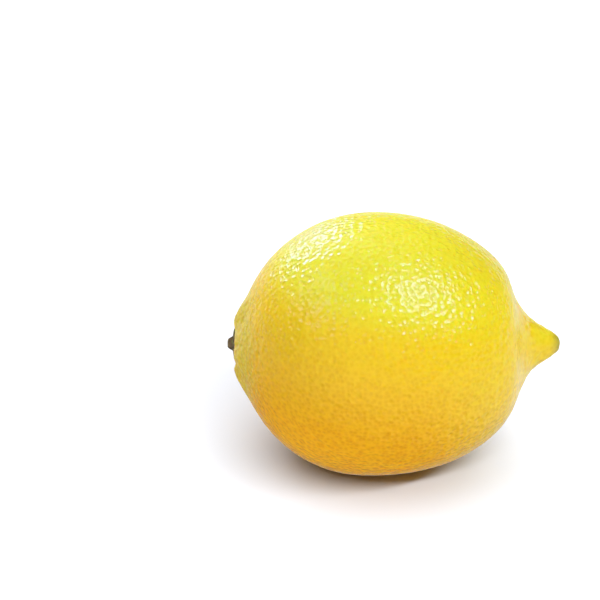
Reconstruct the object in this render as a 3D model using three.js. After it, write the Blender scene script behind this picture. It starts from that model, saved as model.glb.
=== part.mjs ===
// A whole ripe lemon lying on its side, about 60 mm across and 75 mm long.
//
// Frame, in millimetres: the long axis of the fruit runs along X, with the blossom-end nipple toward +X and
// the stem end toward -X, and +Z is up. The origin is the middle of the flat spot that the fruit rests on.

import * as THREE from "three";
import { mergeVertices } from "three/addons/utils/BufferGeometryUtils.js";

// The body is two half ovals that share one round widest section. A fullness of 2 is an ellipse, and more is
// squarer.
const EQUATOR_RADIUS = 29.85;
const BLOSSOM_HALF = { reach: 36.7, fullness: 2.09 };
const STEM_HALF = { reach: 30.7, fullness: 2.13 };
const BELLY_FULLNESS = 0.1; // more full underneath, and less on top

// The nipple is a blunt bump on the blossom end, with a broad furrow round its foot.
const NIPPLE = { height: 5.85, radius: 4.35, steepness: 2.5 };
const FURROW = { depth: 1.7, radius: 10.9, width: 5.6, topBias: 0.3 };
const SCAR = { depth: 0.15, radius: 1.0 };

// The stem end rises into a low neck with radial flutes, and holds a flat seat for the stem button.
const NECK = { height: 1.7, radius: 9.5, steepness: 3 };
const FLUTES = { depth: 0.32, radius: 8.5, width: 3.6 };
const SEAT = { radius: 4.1, rimRadius: 6.0, x: -30.9 };

// Shallow undulations keep the peel from being a perfect solid of revolution.
const UNDULATIONS = [
  { height: 0.16, waves: 3, pitch: 47, phase: 4.5 },
  { height: 0.12, waves: 5, pitch: 36, phase: 3.2 },
  { height: 0.08, waves: 8, pitch: 29, phase: 0.2 },
];

// How the fruit lies: its weight presses a small flat under its balance point.
const REST_SAG = 0.45;
const BALANCE_X = 1.9; // from the widest section toward the nipple

// The stem button is a five-lobed star with the cut stem standing in its middle.
const BUTTON = { radius: 3.2, lobes: 5, lobeDepth: 0.6, skew: 0.25, thickness: 0.8, gap: 0.3 };
const STUB = { radius: 1.45, height: 1.2, steepness: 6 };

const FRUIT_DETAIL = 21;
const BUTTON_DETAIL = 7;

// A ball of near-equal triangles with one corner on the +X axis and one on the -X axis.
function ballAlongX(detail) {
  const ball = new THREE.IcosahedronGeometry(1, detail);
  ball.deleteAttribute("normal");
  ball.deleteAttribute("uv");
  const corner = new THREE.Vector3(-1, (1 + Math.sqrt(5)) / 2, 0);
  ball.rotateZ(-Math.atan2(corner.y, corner.x));
  return mergeVertices(ball);
}

// Moves each point of the ball to place(polar, azimuth): polar runs from 0 at +X to PI at -X, and azimuth
// turns about X from +Y toward +Z.
function shapeBall(detail, place) {
  const ball = ballAlongX(detail);
  const points = ball.getAttribute("position");
  const point = new THREE.Vector3();
  for (let i = 0; i < points.count; i += 1) {
    point.fromBufferAttribute(points, i).normalize();
    const polar = Math.acos(THREE.MathUtils.clamp(point.x, -1, 1));
    const azimuth = Math.atan2(point.z, point.y);
    place(polar, azimuth, point);
    points.setXYZ(i, point.x, point.y, point.z);
  }
  ball.computeVertexNormals();
  return ball;
}

function bump(distance, width, steepness) {
  return Math.exp(-((Math.abs(distance) / width) ** steepness));
}

// How far along X the plain oval reaches at a polar angle. Low is 1 underneath and -1 on top.
function ovalReach(polar, low) {
  const along = Math.cos(polar);
  const half = along >= 0 ? BLOSSOM_HALF : STEM_HALF;
  const fullness = half.fullness + BELLY_FULLNESS * low;
  return Math.sign(along) * half.reach * Math.abs(along) ** (2 / fullness);
}

// What the blossom end adds to the oval, at a distance from the axis.
function blossomRelief(radius, low) {
  const nipple = NIPPLE.height * bump(radius, NIPPLE.radius, NIPPLE.steepness);
  const furrowDepth = FURROW.depth * (1 - FURROW.topBias * low);
  const furrow = furrowDepth * bump(radius - FURROW.radius, FURROW.width, 2);
  const scar = SCAR.depth * bump(radius, SCAR.radius, 2);
  return nipple - furrow - scar;
}

// The stem end's surface: the neck and its flutes, levelled off into the seat near the axis.
function stemEnd(reach, radius, azimuth) {
  const neck = NECK.height * bump(radius, NECK.radius, NECK.steepness);
  const ripple = Math.cos(5 * azimuth + 0.8) + 0.6 * Math.cos(8 * azimuth + 2.4);
  const flutes = FLUTES.depth * ripple * bump(radius - FLUTES.radius, FLUTES.width, 2);
  const open = THREE.MathUtils.smoothstep(radius, SEAT.radius, SEAT.rimRadius);
  return THREE.MathUtils.lerp(SEAT.x, reach - neck + flutes, open);
}

function undulation(x, azimuth, polar) {
  let height = 0;
  for (const wave of UNDULATIONS) {
    const along = Math.sin((2 * Math.PI * x) / wave.pitch + wave.phase);
    height += wave.height * along * Math.cos(wave.waves * azimuth + wave.phase);
  }
  return height * Math.sin(polar) ** 2;
}

// A point of the peel about the fruit's own axis, with x = 0 at the widest section.
function peelPoint(polar, azimuth, point) {
  const low = -Math.sin(azimuth);
  const reach = ovalReach(polar, low);
  const radius = EQUATOR_RADIUS * Math.sin(polar);
  const onBlossomHalf = Math.cos(polar) >= 0;
  const x = onBlossomHalf ? reach + blossomRelief(radius, low) : stemEnd(reach, radius, azimuth);
  const swollen = radius + undulation(reach, azimuth, polar);
  return point.set(x, swollen * Math.cos(azimuth), swollen * Math.sin(azimuth));
}

// The outline of the fruit from the nipple's tip to the stem end, used to space the mesh evenly along it.
class Meridian extends THREE.Curve {
  getPoint(t, target = new THREE.Vector3()) {
    return peelPoint(Math.PI * t, 0, target);
  }
}

// Moves a point from the fruit's own axis to where it lies: nothing reaches under the surface below.
function layDown(point) {
  point.x -= BALANCE_X;
  point.z = Math.max(0, point.z + EQUATOR_RADIUS - REST_SAG);
}

function fruitGeometry() {
  const meridian = new Meridian();
  return shapeBall(FRUIT_DETAIL, (polar, azimuth, point) => {
    const evenPolar = Math.PI * meridian.getUtoTmapping(polar / Math.PI);
    peelPoint(evenPolar, azimuth, point);
    layDown(point);
  });
}

// The button's back is flat on the seat, and its front swells toward the stub in the middle.
function buttonPoint(polar, azimuth, point) {
  const lobes = BUTTON.lobeDepth * Math.cos(BUTTON.lobes * azimuth);
  const outline = BUTTON.radius + lobes + BUTTON.skew * Math.cos(2 * azimuth + 1.1);
  const radius = outline * Math.sin(polar);
  const front = Math.max(0, -Math.cos(polar));
  const lobe = BUTTON.thickness * Math.sqrt(front);
  const stub = STUB.height * bump(radius, STUB.radius, STUB.steepness) * Math.sign(front);
  const x = SEAT.x - BUTTON.gap - lobe - stub;
  layDown(point.set(x, radius * Math.cos(azimuth), radius * Math.sin(azimuth)));
}

function fruit() {
  const peel = new THREE.MeshStandardMaterial({ color: 0xf2cf2e, roughness: 0.35, metalness: 0 });
  const mesh = new THREE.Mesh(fruitGeometry(), peel);
  mesh.name = "fruit";
  return mesh;
}

function stemButton() {
  const calyx = new THREE.MeshStandardMaterial({ color: 0x8a7b45, roughness: 0.85, metalness: 0 });
  const mesh = new THREE.Mesh(shapeBall(BUTTON_DETAIL, buttonPoint), calyx);
  mesh.name = "stem_button";
  return mesh;
}

const lemon = new THREE.Group();
lemon.add(fruit(), stemButton());

export default lemon;
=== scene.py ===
"""A whole lemon on a white studio surface: the peel with its oil glands, and the dry stem button."""

import math

import bpy
import numpy as np
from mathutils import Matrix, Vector
from mathutils.kdtree import KDTree


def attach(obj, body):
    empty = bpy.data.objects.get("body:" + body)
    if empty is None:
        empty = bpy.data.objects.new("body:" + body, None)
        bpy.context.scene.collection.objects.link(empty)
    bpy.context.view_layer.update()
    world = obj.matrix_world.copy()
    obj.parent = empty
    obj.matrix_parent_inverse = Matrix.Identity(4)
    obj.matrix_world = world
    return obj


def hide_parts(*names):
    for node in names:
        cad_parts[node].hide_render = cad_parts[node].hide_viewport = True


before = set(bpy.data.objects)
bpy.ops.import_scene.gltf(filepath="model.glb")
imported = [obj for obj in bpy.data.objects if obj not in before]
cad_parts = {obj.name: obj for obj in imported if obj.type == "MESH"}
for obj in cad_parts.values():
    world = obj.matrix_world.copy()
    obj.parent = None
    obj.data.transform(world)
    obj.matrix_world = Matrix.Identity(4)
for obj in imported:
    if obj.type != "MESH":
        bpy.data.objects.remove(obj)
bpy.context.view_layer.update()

MM = 0.001
SEED = 31

# ---------------------------------------------------------------------------------------------------------
# The fruit's form, in metres. The names and values are those of the solid model.
# ---------------------------------------------------------------------------------------------------------

EQUATOR_RADIUS = 29.85 * MM
BLOSSOM_HALF = {"reach": 36.7 * MM, "fullness": 2.09}
STEM_HALF = {"reach": 30.7 * MM, "fullness": 2.13}
BELLY_FULLNESS = 0.1

NIPPLE = {"height": 5.85 * MM, "radius": 4.35 * MM, "steepness": 2.5}
FURROW = {"depth": 1.7 * MM, "radius": 10.9 * MM, "width": 5.6 * MM, "top_bias": 0.3}
SCAR = {"depth": 0.15 * MM, "radius": 1.0 * MM}

NECK = {"height": 1.7 * MM, "radius": 9.5 * MM, "steepness": 3}
FLUTES = {"depth": 0.32 * MM, "radius": 8.5 * MM, "width": 3.6 * MM}
FLUTE_WAVES = [
    {"count": 5, "share": 1.0, "phase": 0.8},
    {"count": 8, "share": 0.6, "phase": 2.4},
]
SEAT = {"radius": 4.1 * MM, "rim_radius": 6.0 * MM, "x": -30.9 * MM}

# Slow swells of the skin: each has its own number of waves round the fruit and its own pitch along it.
UNDULATIONS = [
    {"height": 0.16 * MM, "waves": 3, "pitch": 47 * MM, "phase": 4.5},
    {"height": 0.12 * MM, "waves": 5, "pitch": 36 * MM, "phase": 3.2},
    {"height": 0.08 * MM, "waves": 8, "pitch": 29 * MM, "phase": 0.2},
]

# The fruit lies with its balance point above the origin, and its belly is pressed flat by the sag.
REST_SAG = 0.45 * MM
BALANCE_X = 1.9 * MM
CENTRE = Vector((-BALANCE_X, 0.0, EQUATOR_RADIUS - REST_SAG))

# How finely the outline is measured, to spread points evenly along it
OUTLINE_STEPS = 1000


def bump(distance, width, steepness=2.0):
    """1 at no distance, falling to 0 beyond the width."""
    return np.exp(-((np.abs(distance) / width) ** steepness))


def smoothstep(value, low, high):
    """0 up to low, 1 from high on, and smooth between them."""
    t = np.clip((value - low) / (high - low), 0.0, 1.0)
    return t * t * (3.0 - 2.0 * t)


def oval_reach(polar, low):
    """How far the plain oval reaches along X: low is 1 at the underside and -1 on top."""
    along = np.cos(polar)
    blossom = along >= 0
    reach = np.where(blossom, BLOSSOM_HALF["reach"], STEM_HALF["reach"])
    fullness = np.where(blossom, BLOSSOM_HALF["fullness"], STEM_HALF["fullness"])
    fullness = fullness + BELLY_FULLNESS * low
    return np.sign(along) * reach * np.abs(along) ** (2.0 / fullness)


def blossom_relief(radius, low):
    """What the blossom end adds to the oval: the nipple with its scar, and the furrow round it."""
    nipple = NIPPLE["height"] * bump(radius, NIPPLE["radius"], NIPPLE["steepness"])
    furrow_depth = FURROW["depth"] * (1.0 - FURROW["top_bias"] * low)
    furrow = furrow_depth * bump(radius - FURROW["radius"], FURROW["width"])
    scar = SCAR["depth"] * bump(radius, SCAR["radius"])
    return nipple - furrow - scar


def stem_end(reach, radius, azimuth):
    """The stem end's own reach: the low fluted neck, with the flat seat of the stem button in it."""
    neck = NECK["height"] * bump(radius, NECK["radius"], NECK["steepness"])
    ripple = sum(wave["share"] * np.cos(wave["count"] * azimuth + wave["phase"]) for wave in FLUTE_WAVES)
    flutes = FLUTES["depth"] * ripple * bump(radius - FLUTES["radius"], FLUTES["width"])
    opening = smoothstep(radius, SEAT["radius"], SEAT["rim_radius"])
    return SEAT["x"] * (1.0 - opening) + (reach - neck + flutes) * opening


def undulation(x, azimuth, polar):
    """Height of the slow swells, which die away toward both ends."""
    height = np.zeros_like(azimuth)
    for wave in UNDULATIONS:
        along = np.sin(2 * np.pi * x / wave["pitch"] + wave["phase"])
        height += wave["height"] * along * np.cos(wave["waves"] * azimuth + wave["phase"])
    return height * np.sin(polar) ** 2


def peel_points(polar, azimuth):
    """Points of the smooth peel about the fruit's own axis, with x = 0 at the widest section."""
    low = -np.sin(azimuth)
    reach = oval_reach(polar, low)
    radius = EQUATOR_RADIUS * np.sin(polar)
    blossom = reach + blossom_relief(radius, low)
    x = np.where(np.cos(polar) >= 0, blossom, stem_end(reach, radius, azimuth))
    swollen = radius + undulation(reach, azimuth, polar)
    return np.stack([x, swollen * np.cos(azimuth), swollen * np.sin(azimuth)], axis=1)


def even_polar(polar):
    """Spaces points evenly along the fruit's outline instead of evenly in angle."""
    angles = np.linspace(0.0, np.pi, OUTLINE_STEPS)
    outline = peel_points(angles, np.zeros_like(angles))
    steps = np.linalg.norm(np.diff(outline, axis=0), axis=1)
    travelled = np.concatenate([[0.0], np.cumsum(steps)])
    return np.interp(polar / np.pi, travelled / travelled[-1], angles)


def lay_down(points):
    """Moves points from the fruit's own axis to where it lies, flattened where it touches the surface."""
    placed = points + np.array(CENTRE)
    placed[:, 2] = np.maximum(placed[:, 2], 0.0)
    return placed


# ---------------------------------------------------------------------------------------------------------
# A ball of near-equal triangles, which every piece is shaped from
# ---------------------------------------------------------------------------------------------------------

# Points that agree to this many digits are one, and no length is divided by less than the tiny one.
MERGE_DIGITS = 7
TINY = 1e-20


def icosahedron():
    """The 12 corners and 20 faces of a regular icosahedron."""
    golden = (1 + math.sqrt(5)) / 2
    corners = [(-1, golden, 0), (1, golden, 0), (-1, -golden, 0), (1, -golden, 0),
               (0, -1, golden), (0, 1, golden), (0, -1, -golden), (0, 1, -golden),
               (golden, 0, -1), (golden, 0, 1), (-golden, 0, -1), (-golden, 0, 1)]
    faces = [(0, 11, 5), (0, 5, 1), (0, 1, 7), (0, 7, 10), (0, 10, 11),
             (1, 5, 9), (5, 11, 4), (11, 10, 2), (10, 7, 6), (7, 1, 8),
             (3, 9, 4), (3, 4, 2), (3, 2, 6), (3, 6, 8), (3, 8, 9),
             (4, 9, 5), (2, 4, 11), (6, 2, 10), (8, 6, 7), (9, 8, 1)]
    return np.array(corners, float), faces


def split_face(a, b, c, rows):
    """The grid points of one split triangle, and its small triangles as index triples into them."""
    points = []
    index = {}
    for i in range(rows + 1):
        for j in range(rows + 1 - i):
            index[i, j] = len(points)
            points.append(a + (b - a) * (i / rows) + (c - a) * (j / rows))
    triangles = []
    for i in range(rows):
        for j in range(rows - i):
            triangles.append((index[i, j], index[i + 1, j], index[i, j + 1]))
            if i + j < rows - 1:
                triangles.append((index[i + 1, j], index[i + 1, j + 1], index[i, j + 1]))
    return np.array(points), np.array(triangles)


def ball_along_x(rows):
    """Unit directions and triangles of a ball with one corner on +X and one on -X."""
    corners, faces = icosahedron()
    turn = -math.atan2(corners[0][1], corners[0][0])
    spin = np.array([[math.cos(turn), -math.sin(turn), 0], [math.sin(turn), math.cos(turn), 0], [0, 0, 1]])
    corners = corners @ spin.T
    points = []
    triangles = []
    count = 0
    for a, b, c in faces:
        grid, small = split_face(corners[a], corners[b], corners[c], rows)
        points.append(grid)
        triangles.append(small + count)
        count += len(grid)
    points = np.concatenate(points)
    points /= np.linalg.norm(points, axis=1, keepdims=True)
    rounded = np.round(points, MERGE_DIGITS)
    _, first, merged = np.unique(rounded, axis=0, return_index=True, return_inverse=True)
    return points[first], merged.reshape(-1)[np.concatenate(triangles)]


def polar_and_azimuth(directions):
    """The angle of each direction from +X, and its angle round X from +Y."""
    polar = np.arccos(np.clip(directions[:, 0], -1.0, 1.0))
    return polar, np.arctan2(directions[:, 2], directions[:, 1])


def vertex_normals(points, triangles):
    """Unit normals at the points, each the area-weighted mean of the faces round it."""
    a, b, c = (points[triangles[:, k]] for k in range(3))
    face = np.cross(b - a, c - a)
    normals = np.zeros_like(points)
    for k in range(3):
        np.add.at(normals, triangles[:, k], face)
    return normals / np.maximum(np.linalg.norm(normals, axis=1, keepdims=True), TINY)


def mesh_object(name, points, triangles):
    """A smooth-shaded object in the scene."""
    mesh = bpy.data.meshes.new(name)
    mesh.vertices.add(len(points))
    mesh.vertices.foreach_set("co", points.astype(np.float32).ravel())
    mesh.loops.add(triangles.size)
    mesh.loops.foreach_set("vertex_index", triangles.astype(np.int32).ravel())
    mesh.polygons.add(len(triangles))
    mesh.polygons.foreach_set("loop_start", np.arange(0, triangles.size, 3, dtype=np.int32))
    mesh.update(calc_edges=True)
    mesh.validate()
    mesh.polygons.foreach_set("use_smooth", np.ones(len(triangles), bool))
    piece = bpy.data.objects.new(name, mesh)
    bpy.context.scene.collection.objects.link(piece)
    return piece


# ---------------------------------------------------------------------------------------------------------
# The peel, with dimples over the oil glands
# ---------------------------------------------------------------------------------------------------------

# Rows of small triangles in each of a ball's 20 faces
PEEL_ROWS = 98

# Each layer sets its dimples on a ball of its own, with these rows to a face. Each then moves at random,
# with the jitter as the standard deviation.
DIMPLES = [
    {"rows": 18, "depth": 0.12 * MM, "radius": 0.60 * MM, "jitter": 0.4 * MM},
    {"rows": 29, "depth": 0.03 * MM, "radius": 0.42 * MM, "jitter": 0.25 * MM},
]

# A random size multiplies the depth and radius of a dimple. Each point feels only its nearest two.
DIMPLE_SIZES = (0.65, 1.35)
DIMPLE_STEEPNESS = 2.5
DIMPLES_IN_REACH = 2


def dimple_field(points, layer, random):
    """How deep each point of the smooth peel lies in one layer of dimples."""
    directions, _ = ball_along_x(layer["rows"])
    polar, azimuth = polar_and_azimuth(directions)
    seats = peel_points(even_polar(polar), azimuth)
    seats += random.normal(0.0, layer["jitter"], seats.shape)
    sizes = random.uniform(*DIMPLE_SIZES, len(seats))
    tree = KDTree(len(seats))
    for i, seat in enumerate(seats):
        tree.insert(seat, i)
    tree.balance()
    depth = np.zeros(len(points))
    for i, point in enumerate(points):
        for _, seat, distance in tree.find_n(point, DIMPLES_IN_REACH):
            spread = distance / (layer["radius"] * sizes[seat])
            depth[i] += sizes[seat] * math.exp(-(spread ** DIMPLE_STEEPNESS))
    return depth * layer["depth"]


def peel():
    """The whole peel, dimpled and laid down."""
    random = np.random.default_rng(SEED)
    directions, triangles = ball_along_x(PEEL_ROWS)
    polar, azimuth = polar_and_azimuth(directions)
    smooth = peel_points(even_polar(polar), azimuth)
    depth = sum(dimple_field(smooth, layer, random) for layer in DIMPLES)
    dimpled = smooth - vertex_normals(smooth, triangles) * depth[:, None]
    return mesh_object("peel", lay_down(dimpled), triangles)


# ---------------------------------------------------------------------------------------------------------
# The stem button
# ---------------------------------------------------------------------------------------------------------

BUTTON_ROWS = 40
BUTTON = {"radius": 3.2 * MM, "lobes": 5, "lobe_depth": 0.6 * MM, "skew": 0.25 * MM, "skew_phase": 1.1,
          "thickness": 0.8 * MM, "gap": 0.3 * MM}
STUB = {"radius": 1.45 * MM, "height": 1.2 * MM, "steepness": 6}


def stem_button():
    """A flat-backed star with the stem's stub in its middle, facing -X and just clear of its seat."""
    directions, triangles = ball_along_x(BUTTON_ROWS)
    polar, azimuth = polar_and_azimuth(directions)
    lobes = BUTTON["lobe_depth"] * np.cos(BUTTON["lobes"] * azimuth)
    outline = BUTTON["radius"] + lobes + BUTTON["skew"] * np.cos(2 * azimuth + BUTTON["skew_phase"])
    radius = outline * np.sin(polar)
    front = np.maximum(0.0, -np.cos(polar))
    lobe = BUTTON["thickness"] * np.sqrt(front)
    stub = STUB["height"] * bump(radius, STUB["radius"], STUB["steepness"]) * (front > 0)
    x = SEAT["x"] - BUTTON["gap"] - lobe - stub
    points = np.stack([x, radius * np.cos(azimuth), radius * np.sin(azimuth)], axis=1)
    return mesh_object("calyx", points + np.array(CENTRE), triangles)


# ---------------------------------------------------------------------------------------------------------
# Shader nodes. Their owner is a material or the world.
# ---------------------------------------------------------------------------------------------------------

WHITE = (1.0, 1.0, 1.0)

# Nearly all values of a noise lie between these two.
NOISE_RANGE = (0.2, 0.8)


def link(owner, source, target):
    owner.node_tree.links.new(source, target)


def new_material(name):
    """A material with nothing but a Principled shader, and that shader."""
    material = bpy.data.materials.new(name)
    material.use_nodes = True
    nodes = material.node_tree.nodes
    nodes.clear()
    shader = nodes.new("ShaderNodeBsdfPrincipled")
    output = nodes.new("ShaderNodeOutputMaterial")
    link(material, shader.outputs["BSDF"], output.inputs["Surface"])
    return material, shader


def coordinates(owner, kind="Object"):
    """Where a point of a piece is, or with kind "Generated" which way a point of the world lies."""
    return owner.node_tree.nodes.new("ShaderNodeTexCoord").outputs[kind]


def separated(owner, vector):
    """The three numbers of a vector."""
    node = owner.node_tree.nodes.new("ShaderNodeSeparateXYZ")
    link(owner, vector, node.inputs["Vector"])
    return [node.outputs[axis] for axis in "XYZ"]


def along_axis(owner, vector, axis):
    """How far a vector reaches along an axis."""
    node = owner.node_tree.nodes.new("ShaderNodeVectorMath")
    node.operation = "DOT_PRODUCT"
    link(owner, vector, node.inputs[0])
    node.inputs[1].default_value = axis
    return node.outputs["Value"]


def combined(owner, operation, first, second):
    """One number made of two, by an operation of the Math node."""
    node = owner.node_tree.nodes.new("ShaderNodeMath")
    node.operation = operation
    link(owner, first, node.inputs[0])
    link(owner, second, node.inputs[1])
    return node.outputs["Value"]


def remap(owner, value, low, high, out_low=0.0, out_high=1.0, smooth=True):
    """Turns the range from low to high into that from out_low to out_high, and stays inside it."""
    node = owner.node_tree.nodes.new("ShaderNodeMapRange")
    node.interpolation_type = "SMOOTHSTEP" if smooth else "LINEAR"
    link(owner, value, node.inputs["Value"])
    node.inputs["From Min"].default_value = low
    node.inputs["From Max"].default_value = high
    node.inputs["To Min"].default_value = out_low
    node.inputs["To Max"].default_value = out_high
    return node.outputs["Result"]


def noise(material, spacing, detail=2.0, output="Fac"):
    """A soft random pattern with features about as large as the spacing."""
    node = material.node_tree.nodes.new("ShaderNodeTexNoise")
    link(material, coordinates(material), node.inputs["Vector"])
    node.inputs["Scale"].default_value = 1.0 / spacing
    node.inputs["Detail"].default_value = detail
    return node.outputs[output]


def ragged(material, value, spacing, reach):
    """Moves a value up and down by a noise, as far as the reach."""
    wobble = remap(material, noise(material, spacing), *NOISE_RANGE, -reach, reach, smooth=False)
    return combined(material, "ADD", value, wobble)


def mix_colours(material, share, first, second):
    """The first colour where the share is 0, and the second where it is 1."""
    node = material.node_tree.nodes.new("ShaderNodeMix")
    node.data_type = "RGBA"
    link(material, share, node.inputs["Factor"])
    for socket, colour in ((node.inputs["A"], first), (node.inputs["B"], second)):
        if isinstance(colour, tuple):
            socket.default_value = (*colour, 1.0)
        else:
            link(material, colour, socket)
    return node.outputs["Result"]


def tinted(material, colour, tint):
    """A colour multiplied by a tint."""
    node = material.node_tree.nodes.new("ShaderNodeVectorMath")
    node.operation = "MULTIPLY"
    link(material, colour, node.inputs[0])
    link(material, tint, node.inputs[1])
    return node.outputs["Vector"]


def dent(material, depth, deepest, over=None):
    """A surface normal pressed in where depth is 1, by the deepest distance, on top of another one."""
    node = material.node_tree.nodes.new("ShaderNodeBump")
    node.invert = True
    node.inputs["Distance"].default_value = deepest
    link(material, depth, node.inputs["Height"])
    if over:
        link(material, over, node.inputs["Normal"])
    return node.outputs["Normal"]


# ---------------------------------------------------------------------------------------------------------
# The peel's material
# ---------------------------------------------------------------------------------------------------------

# The peel's colours by height above the surface: a mild change of its own yellow, with painted shade over
# it that makes the underside oranger and darker. The height is tilted, so that the painted shade is deeper
# and warmer toward the stem end.
COLOUR_AND_SHADE_AXIS = (0.15, 0.0, 1.0)
TOP = {"height": 50 * MM, "colour": (0.76, 0.70, 0.022), "gland_tint": (0.97, 0.96, 0.5)}
MIDDLE = {"height": 41 * MM, "colour": (0.81, 0.565, 0.010)}
LOW = {"height": 18 * MM, "colour": (0.84, 0.42, 0.003), "gland_tint": (0.86, 0.76, 0.4)}

# Zones with a colour of their own. Along X it grows from nothing at "from" to its share at "to", and the
# edge is ragged. In height it fades in over the first few millimetres above "above".
FADE_IN = 5 * MM
BELOW_THE_FRUIT = -FADE_IN
RAGGED_SPACING = 1.3 * MM
# The blossom half is painted an even mid yellow all round, which takes back much of the painted shade
# there.
EVEN_BLOSSOM_HALF = {"colour": (0.76, 0.575, 0.02), "share": 0.75, "from": 4 * MM, "to": 33 * MM,
                     "ragged": 1.0 * MM, "above": BELOW_THE_FRUIT}
GREENER_NIPPLE_TOP = {"colour": (0.76, 0.68, 0.035), "share": 0.8, "from": 32 * MM, "to": 37 * MM,
                      "ragged": 1.0 * MM, "above": 29 * MM}
GREEN_SCAR = {"colour": (0.25, 0.26, 0.06), "share": 0.85, "from": 37.4 * MM, "to": 41.0 * MM,
              "ragged": 0.5 * MM, "above": BELOW_THE_FRUIT}
GREENISH_STEM_END = {"colour": (0.62, 0.56, 0.04), "share": 0.6, "from": -27.5 * MM, "to": -31.5 * MM,
                     "ragged": 1.5 * MM, "above": BELOW_THE_FRUIT}
ZONES = [EVEN_BLOSSOM_HALF, GREENER_NIPPLE_TOP, GREEN_SCAR, GREENISH_STEM_END]

# Distances from the middle of a gland are shares of the spacing. Its tint fades out at the reach, and a pit
# is deepest up to its floor and ends at its rim.
GLAND_RANDOMNESS = 0.8
TINTED_GLANDS = {"spacing": 1.0 * MM, "reach": 0.85}
PITS = [
    {"spacing": 1.35 * MM, "floor": 0.0, "rim": 0.74, "depth": 0.175 * MM},
    {"spacing": 0.80 * MM, "floor": 0.05, "rim": 0.62, "depth": 0.03 * MM},
]
SHALLOW_PITS = {"from": 23 * MM, "to": 31 * MM, "share": 0.3}

PEEL_ROUGHNESS = 0.2
PEEL_IOR = 1.37
PEEL_GLOW = {"weight": 0.5, "radius": (1.0, 0.45, 0.1), "scale": 2.5 * MM}


def colour_and_shade_by_height(material, height):
    """Greenish yellow at the top, turning to orange yellow at the underside: partly the peel's own hue and
    partly painted shade.
    """
    upper = remap(material, height, TOP["height"], MIDDLE["height"])
    lower = remap(material, height, MIDDLE["height"], LOW["height"], smooth=False)
    colour = mix_colours(material, upper, TOP["colour"], MIDDLE["colour"])
    return mix_colours(material, lower, colour, LOW["colour"])


def with_zone(material, colour, zone):
    """A colour, with that of a zone laid over it."""
    x, _, z = separated(material, coordinates(material))
    edge = ragged(material, x, RAGGED_SPACING, zone["ragged"])
    inside = remap(material, edge, zone["from"], zone["to"], 0.0, zone["share"])
    high = remap(material, z, zone["above"], zone["above"] + FADE_IN)
    share = combined(material, "MULTIPLY", inside, high)
    return mix_colours(material, share, colour, zone["colour"])


def gland_distance(material, spacing):
    """Distance from the nearest oil gland, as a share of the spacing."""
    node = material.node_tree.nodes.new("ShaderNodeTexVoronoi")
    link(material, coordinates(material), node.inputs["Vector"])
    node.inputs["Scale"].default_value = 1.0 / spacing
    node.inputs["Randomness"].default_value = GLAND_RANDOMNESS
    return node.outputs["Distance"]


def gland_tint(material, height):
    """Darker over each oil gland, and white between them. The dots are darker lower down, where the painted
    shade lies.
    """
    shade_share = remap(material, height, TOP["height"], LOW["height"], smooth=False)
    gland = mix_colours(material, shade_share, TOP["gland_tint"], LOW["gland_tint"])
    distance = gland_distance(material, TINTED_GLANDS["spacing"])
    return mix_colours(material, remap(material, distance, 0.0, TINTED_GLANDS["reach"]), gland, WHITE)


def pitted_normal(material):
    """Two sizes of pits over the oil glands, which get shallower toward the nipple."""
    x = separated(material, coordinates(material))[0]
    strength = remap(material, x, SHALLOW_PITS["from"], SHALLOW_PITS["to"], 1.0, SHALLOW_PITS["share"])
    normal = None
    for layer in PITS:
        distance = gland_distance(material, layer["spacing"])
        hollow = remap(material, distance, layer["floor"], layer["rim"], 1.0, 0.0)
        normal = dent(material, combined(material, "MULTIPLY", hollow, strength), layer["depth"], normal)
    return normal


def peel_material():
    """Waxy yellow peel with pits and darker dots over its oil glands, and painted shade that turns it
    oranger and darker toward the underside.
    """
    material, shader = new_material("lemon_peel")
    height = along_axis(material, coordinates(material), COLOUR_AND_SHADE_AXIS)
    colour = colour_and_shade_by_height(material, height)
    for zone in ZONES:
        colour = with_zone(material, colour, zone)
    link(material, tinted(material, colour, gland_tint(material, height)), shader.inputs["Base Color"])
    link(material, pitted_normal(material), shader.inputs["Normal"])
    shader.inputs["Roughness"].default_value = PEEL_ROUGHNESS
    shader.inputs["IOR"].default_value = PEEL_IOR
    shader.inputs["Subsurface Weight"].default_value = PEEL_GLOW["weight"]
    shader.inputs["Subsurface Radius"].default_value = PEEL_GLOW["radius"]
    shader.inputs["Subsurface Scale"].default_value = PEEL_GLOW["scale"]
    return material


# ---------------------------------------------------------------------------------------------------------
# The stem button's material
# ---------------------------------------------------------------------------------------------------------

# The cut wood in the middle turns to bark between these distances from the axis, and the bark to sepals.
WOOD = {"pale": (0.42, 0.33, 0.16), "dark": (0.20, 0.14, 0.06), "ring_width": 0.2 * MM}
BARK = {"colour": (0.17, 0.11, 0.05), "from": 1.0 * MM, "to": 1.25 * MM}
SEPALS = {"green": (0.19, 0.20, 0.05), "brown": (0.14, 0.085, 0.035), "from": 1.45 * MM, "to": 1.8 * MM}
WAVY_RINGS = {"spacing": 0.8 * MM, "reach": 0.15 * MM}

MOTTLE = {"spacing": 0.9 * MM, "detail": 4.0, "green_below": 0.35, "brown_above": 0.65}
CRACKS = {"colour": (0.035, 0.025, 0.012), "spacing": 1.5 * MM, "width": 0.07}
WANDERING = {"spacing": 0.6 * MM, "reach": 1.2 * MM}
FIBRES = {"spacing": 0.3 * MM, "detail": 3.0}

# The relief adds up two values from 0 to 1: one drops along the cracks, and the other is the fibres.
RELIEF = {"highest": 2.0, "depth": 0.25 * MM}
CALYX_ROUGHNESS = 0.8


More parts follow.
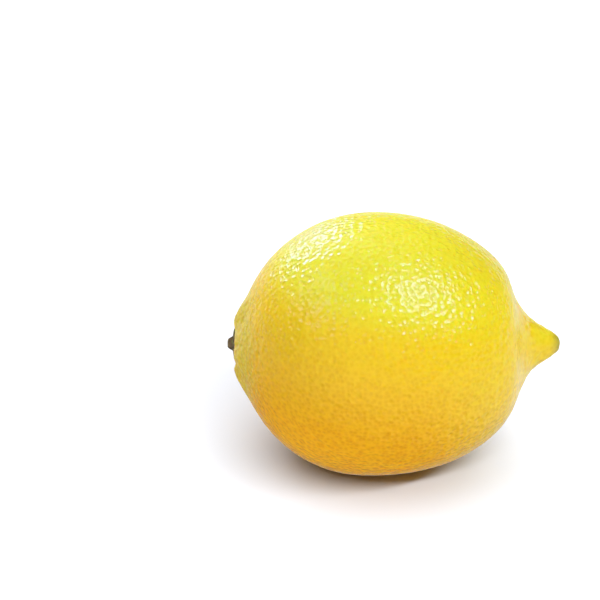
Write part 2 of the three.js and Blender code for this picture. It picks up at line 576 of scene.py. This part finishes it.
def axis_distance(material):
    """Distance from the fruit's long axis."""
    offset = material.node_tree.nodes.new("ShaderNodeVectorMath")
    offset.operation = "MULTIPLY_ADD"
    link(material, coordinates(material), offset.inputs[0])
    offset.inputs[1].default_value = (0.0, 1.0, 1.0)
    offset.inputs[2].default_value = (0.0, -CENTRE.y, -CENTRE.z)
    length = material.node_tree.nodes.new("ShaderNodeVectorMath")
    length.operation = "LENGTH"
    link(material, offset.outputs["Vector"], length.inputs[0])
    return length.outputs["Value"]


def growth_rings(material, out):
    """Cut wood in pale and dark rings."""
    ring = material.node_tree.nodes.new("ShaderNodeMath")
    ring.operation = "PINGPONG"
    link(material, out, ring.inputs[0])
    ring.inputs[1].default_value = WOOD["ring_width"]
    grain = remap(material, ring.outputs["Value"], 0.0, WOOD["ring_width"])
    return mix_colours(material, grain, WOOD["pale"], WOOD["dark"])


def sepal_colour(material):
    """Dry sepals, mottled green and brown."""
    mottle = noise(material, MOTTLE["spacing"], MOTTLE["detail"])
    share = remap(material, mottle, MOTTLE["green_below"], MOTTLE["brown_above"])
    return mix_colours(material, share, SEPALS["green"], SEPALS["brown"])


def wandering_coordinates(material):
    """Places shifted about by a noise."""
    shift = material.node_tree.nodes.new("ShaderNodeVectorMath")
    shift.operation = "MULTIPLY_ADD"
    link(material, noise(material, WANDERING["spacing"], output="Color"), shift.inputs[0])
    shift.inputs[1].default_value = [WANDERING["reach"]] * 3
    link(material, coordinates(material), shift.inputs[2])
    return shift.outputs["Vector"]


def crack_edges(material):
    """0 along a net of wandering cracks, rising to 1 away from them."""
    node = material.node_tree.nodes.new("ShaderNodeTexVoronoi")
    node.feature = "DISTANCE_TO_EDGE"
    link(material, wandering_coordinates(material), node.inputs["Vector"])
    node.inputs["Scale"].default_value = 1.0 / CRACKS["spacing"]
    return remap(material, node.outputs["Distance"], 0.0, CRACKS["width"])


def fibrous_normal(material, whole):
    """Dented along the cracks, where whole is 0, and between fine fibres."""
    fibres = noise(material, FIBRES["spacing"], FIBRES["detail"])
    relief = combined(material, "ADD", whole, fibres)
    hollow = remap(material, relief, 0.0, RELIEF["highest"], 1.0, 0.0, smooth=False)
    return dent(material, hollow, RELIEF["depth"])


def calyx_material():
    """A dry star of sepals, green to brown and cracked, round the paler cut end of the stem."""
    material, shader = new_material("dry_calyx")
    out = ragged(material, axis_distance(material), WAVY_RINGS["spacing"], WAVY_RINGS["reach"])
    bark = remap(material, out, BARK["from"], BARK["to"])
    stem = mix_colours(material, bark, growth_rings(material, out), BARK["colour"])
    leafy = remap(material, out, SEPALS["from"], SEPALS["to"])
    dry = mix_colours(material, leafy, stem, sepal_colour(material))
    whole = crack_edges(material)
    link(material, mix_colours(material, whole, CRACKS["colour"], dry), shader.inputs["Base Color"])
    link(material, fibrous_normal(material, whole), shader.inputs["Normal"])
    shader.inputs["Roughness"].default_value = CALYX_ROUGHNESS
    return material


# ---------------------------------------------------------------------------------------------------------
# The white surface
# ---------------------------------------------------------------------------------------------------------

FLOOR = {"radius": 1.0, "sides": 96, "colour": (0.59, 0.615, 0.665), "roughness": 0.9}


def floor_material():
    """Matt light grey, which the panels light up to white."""
    material, shader = new_material("white_surface")
    shader.inputs["Base Color"].default_value = (*FLOOR["colour"], 1.0)
    shader.inputs["Roughness"].default_value = FLOOR["roughness"]
    return material


def add_floor():
    """A disc under the fruit. It isn't mirrored in the peel, where the darker world below shows instead."""
    mesh = bpy.data.meshes.new("surface")
    angles = [2 * math.pi * side / FLOOR["sides"] for side in range(FLOOR["sides"])]
    rim = [(FLOOR["radius"] * math.cos(angle), FLOOR["radius"] * math.sin(angle), 0.0) for angle in angles]
    mesh.from_pydata(rim, [], [list(range(FLOOR["sides"]))])
    floor = bpy.data.objects.new("surface", mesh)
    bpy.context.scene.collection.objects.link(floor)
    floor.data.materials.append(floor_material())
    floor.visible_glossy = False
    return floor


# ---------------------------------------------------------------------------------------------------------
# Camera
# ---------------------------------------------------------------------------------------------------------

# The lens and sensor are in millimetres, as Blender has them. "aside" and "above" shift the camera.
CAMERA = {"elevation": 25.0, "distance": 400 * MM, "lens": 105.6, "sensor": 36.0,
          "aside": -16.72 * MM, "above": 9.86 * MM, "nearest": 0.01, "farthest": 20.0}


def direction(azimuth, elevation):
    """A unit vector away from the fruit: azimuth 0 is toward the camera, 90 is to its right."""
    turn = math.radians(azimuth)
    rise = math.radians(elevation)
    return Vector((math.sin(turn) * math.cos(rise), -math.cos(turn) * math.cos(rise), math.sin(rise)))


def add_camera():
    """The camera looks at the fruit's side from somewhat above, and is shifted within its picture plane."""
    data = bpy.data.cameras.new("camera")
    data.lens = CAMERA["lens"]
    data.sensor_width = CAMERA["sensor"]
    data.clip_start = CAMERA["nearest"]
    data.clip_end = CAMERA["farthest"]
    camera = bpy.data.objects.new("camera", data)
    away = direction(0.0, CAMERA["elevation"])
    turn = (-away).to_track_quat("-Z", "Y")
    offset = turn @ Vector((CAMERA["aside"], CAMERA["above"], 0.0))
    camera.location = CENTRE + away * CAMERA["distance"] + offset
    camera.rotation_mode = "QUATERNION"
    camera.rotation_quaternion = turn
    bpy.context.scene.collection.objects.link(camera)
    bpy.context.scene.camera = camera


# ---------------------------------------------------------------------------------------------------------
# Lights: directions in degrees, sizes in metres and power in watts
# ---------------------------------------------------------------------------------------------------------

# The boxes light the fruit. Where one has no gloss, a gleam stands in for its mirror image in the peel.
BOXES = [
    {"name": "back_left_box", "azimuth": -151.0, "elevation": 27.0,
     "distance": 2.0, "width": 1.0, "tall": 0.55, "power": 30.0, "gloss": False},
    {"name": "front_right_box", "azimuth": 57.0, "elevation": 60.0,
     "distance": 2.0, "width": 1.0, "tall": 1.0, "power": 31.2, "gloss": False},
    {"name": "front_fill", "azimuth": -20.0, "elevation": 30.0,
     "distance": 2.0, "width": 3.0, "tall": 2.0, "power": 12.5},
]

# The gleams only show as highlights. On the yellow of the peel, a mostly blue light reads as white.
GLEAM_COLOUR = (0.12, 0.30, 1.0)
GLEAMS = [
    {"name": "back_left_gleam", "azimuth": -151.0, "elevation": 27.0,
     "distance": 1.8, "width": 0.95, "tall": 0.5, "power": 23.0},
    {"name": "front_right_gleam", "azimuth": 57.0, "elevation": 60.0,
     "distance": 1.8, "width": 1.05, "tall": 0.9, "power": 54.0},
    {"name": "left_gleam", "azimuth": -80.0, "elevation": 48.0,
     "distance": 1.8, "width": 1.0, "tall": 0.8, "power": 14.0},
    {"name": "back_gleam", "azimuth": -170.0, "elevation": 58.0,
     "distance": 1.8, "width": 1.3, "tall": 0.8, "power": 7.0},
]

# The panels light the surface only, and cast the fruit's soft shadow on it.
PANELS = [
    {"name": "overhead_panel", "azimuth": 0.0, "elevation": 90.0,
     "distance": 2.0, "width": 3.0, "tall": 3.0, "power": 74.0},
    {"name": "front_panel", "azimuth": 25.0, "elevation": 46.0,
     "distance": 2.0, "width": 2.8, "tall": 0.20, "power": 58.0},
]


def add_softbox(name, azimuth, elevation, distance, width, tall, power,
                colour=WHITE, diffuse=True, gloss=True):
    """A rectangular light that faces the fruit."""
    data = bpy.data.lights.new(name, "AREA")
    data.shape = "RECTANGLE"
    data.size = width
    data.size_y = tall
    data.energy = power
    data.color = colour
    light = bpy.data.objects.new(name, data)
    away = direction(azimuth, elevation)
    light.location = CENTRE + away * distance
    light.rotation_mode = "QUATERNION"
    light.rotation_quaternion = away.to_track_quat("Z", "Y")
    light.visible_diffuse = diffuse
    light.visible_glossy = gloss
    bpy.context.scene.collection.objects.link(light)
    return light


def shine_only_on(light, pieces):
    """Limits a light to some pieces, so the surface stays evenly white around the fruit's own shadow."""
    lit = bpy.data.collections.new("lit_by_" + light.name)
    for piece in pieces:
        lit.objects.link(piece)
    light.light_linking.receiver_collection = lit


# ---------------------------------------------------------------------------------------------------------
# World
# ---------------------------------------------------------------------------------------------------------

# Each part of the world changes its strength between two heights, or between two leans toward its axis.
HORIZON = {"white_below": 0.03, "gone_above": 0.12, "strength": 1.0}
SKY = {"axis": (-0.3, 0.35, 0.89), "front_below": 0.3, "back_above": 0.95, "front": 0.07, "back": 0.5}
GROUND = {"axis": (0.3, 0.0, 1.0), "dark_below": -0.85, "white_above": -0.36, "dark": 0.15}


def add_world():
    """White at the horizon, softer white above and behind, and darker below, where the surface hides it."""
    world = bpy.data.worlds.new("studio")
    world.use_nodes = True
    toward = coordinates(world, "Generated")
    up = separated(world, toward)[2]
    horizon = remap(world, up, HORIZON["white_below"], HORIZON["gone_above"], HORIZON["strength"], 0.0)
    sky = remap(world, along_axis(world, toward, SKY["axis"]),
                SKY["front_below"], SKY["back_above"], SKY["front"], SKY["back"])
    ground = remap(world, along_axis(world, toward, GROUND["axis"]),
                   GROUND["dark_below"], GROUND["white_above"], GROUND["dark"], HORIZON["strength"])
    strength = combined(world, "MINIMUM", combined(world, "MAXIMUM", horizon, sky), ground)
    background = world.node_tree.nodes["Background"]
    background.inputs["Color"].default_value = (*WHITE, 1.0)
    link(world, strength, background.inputs["Strength"])
    bpy.context.scene.world = world


# ---------------------------------------------------------------------------------------------------------
# The scene
# ---------------------------------------------------------------------------------------------------------

bpy.context.scene.view_settings.view_transform = "Standard"

fruit = peel()
fruit.data.materials.append(peel_material())
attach(fruit, "root")
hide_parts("fruit")

button = stem_button()
button.data.materials.append(calyx_material())
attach(button, "root")
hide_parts("stem_button")

add_camera()
add_world()
floor = add_floor()
for box in BOXES:
    shine_only_on(add_softbox(**box), [fruit, button])
for gleam in GLEAMS:
    shine_only_on(add_softbox(**gleam, colour=GLEAM_COLOUR, diffuse=False), [fruit])
for panel in PANELS:
    shine_only_on(add_softbox(**panel), [floor])
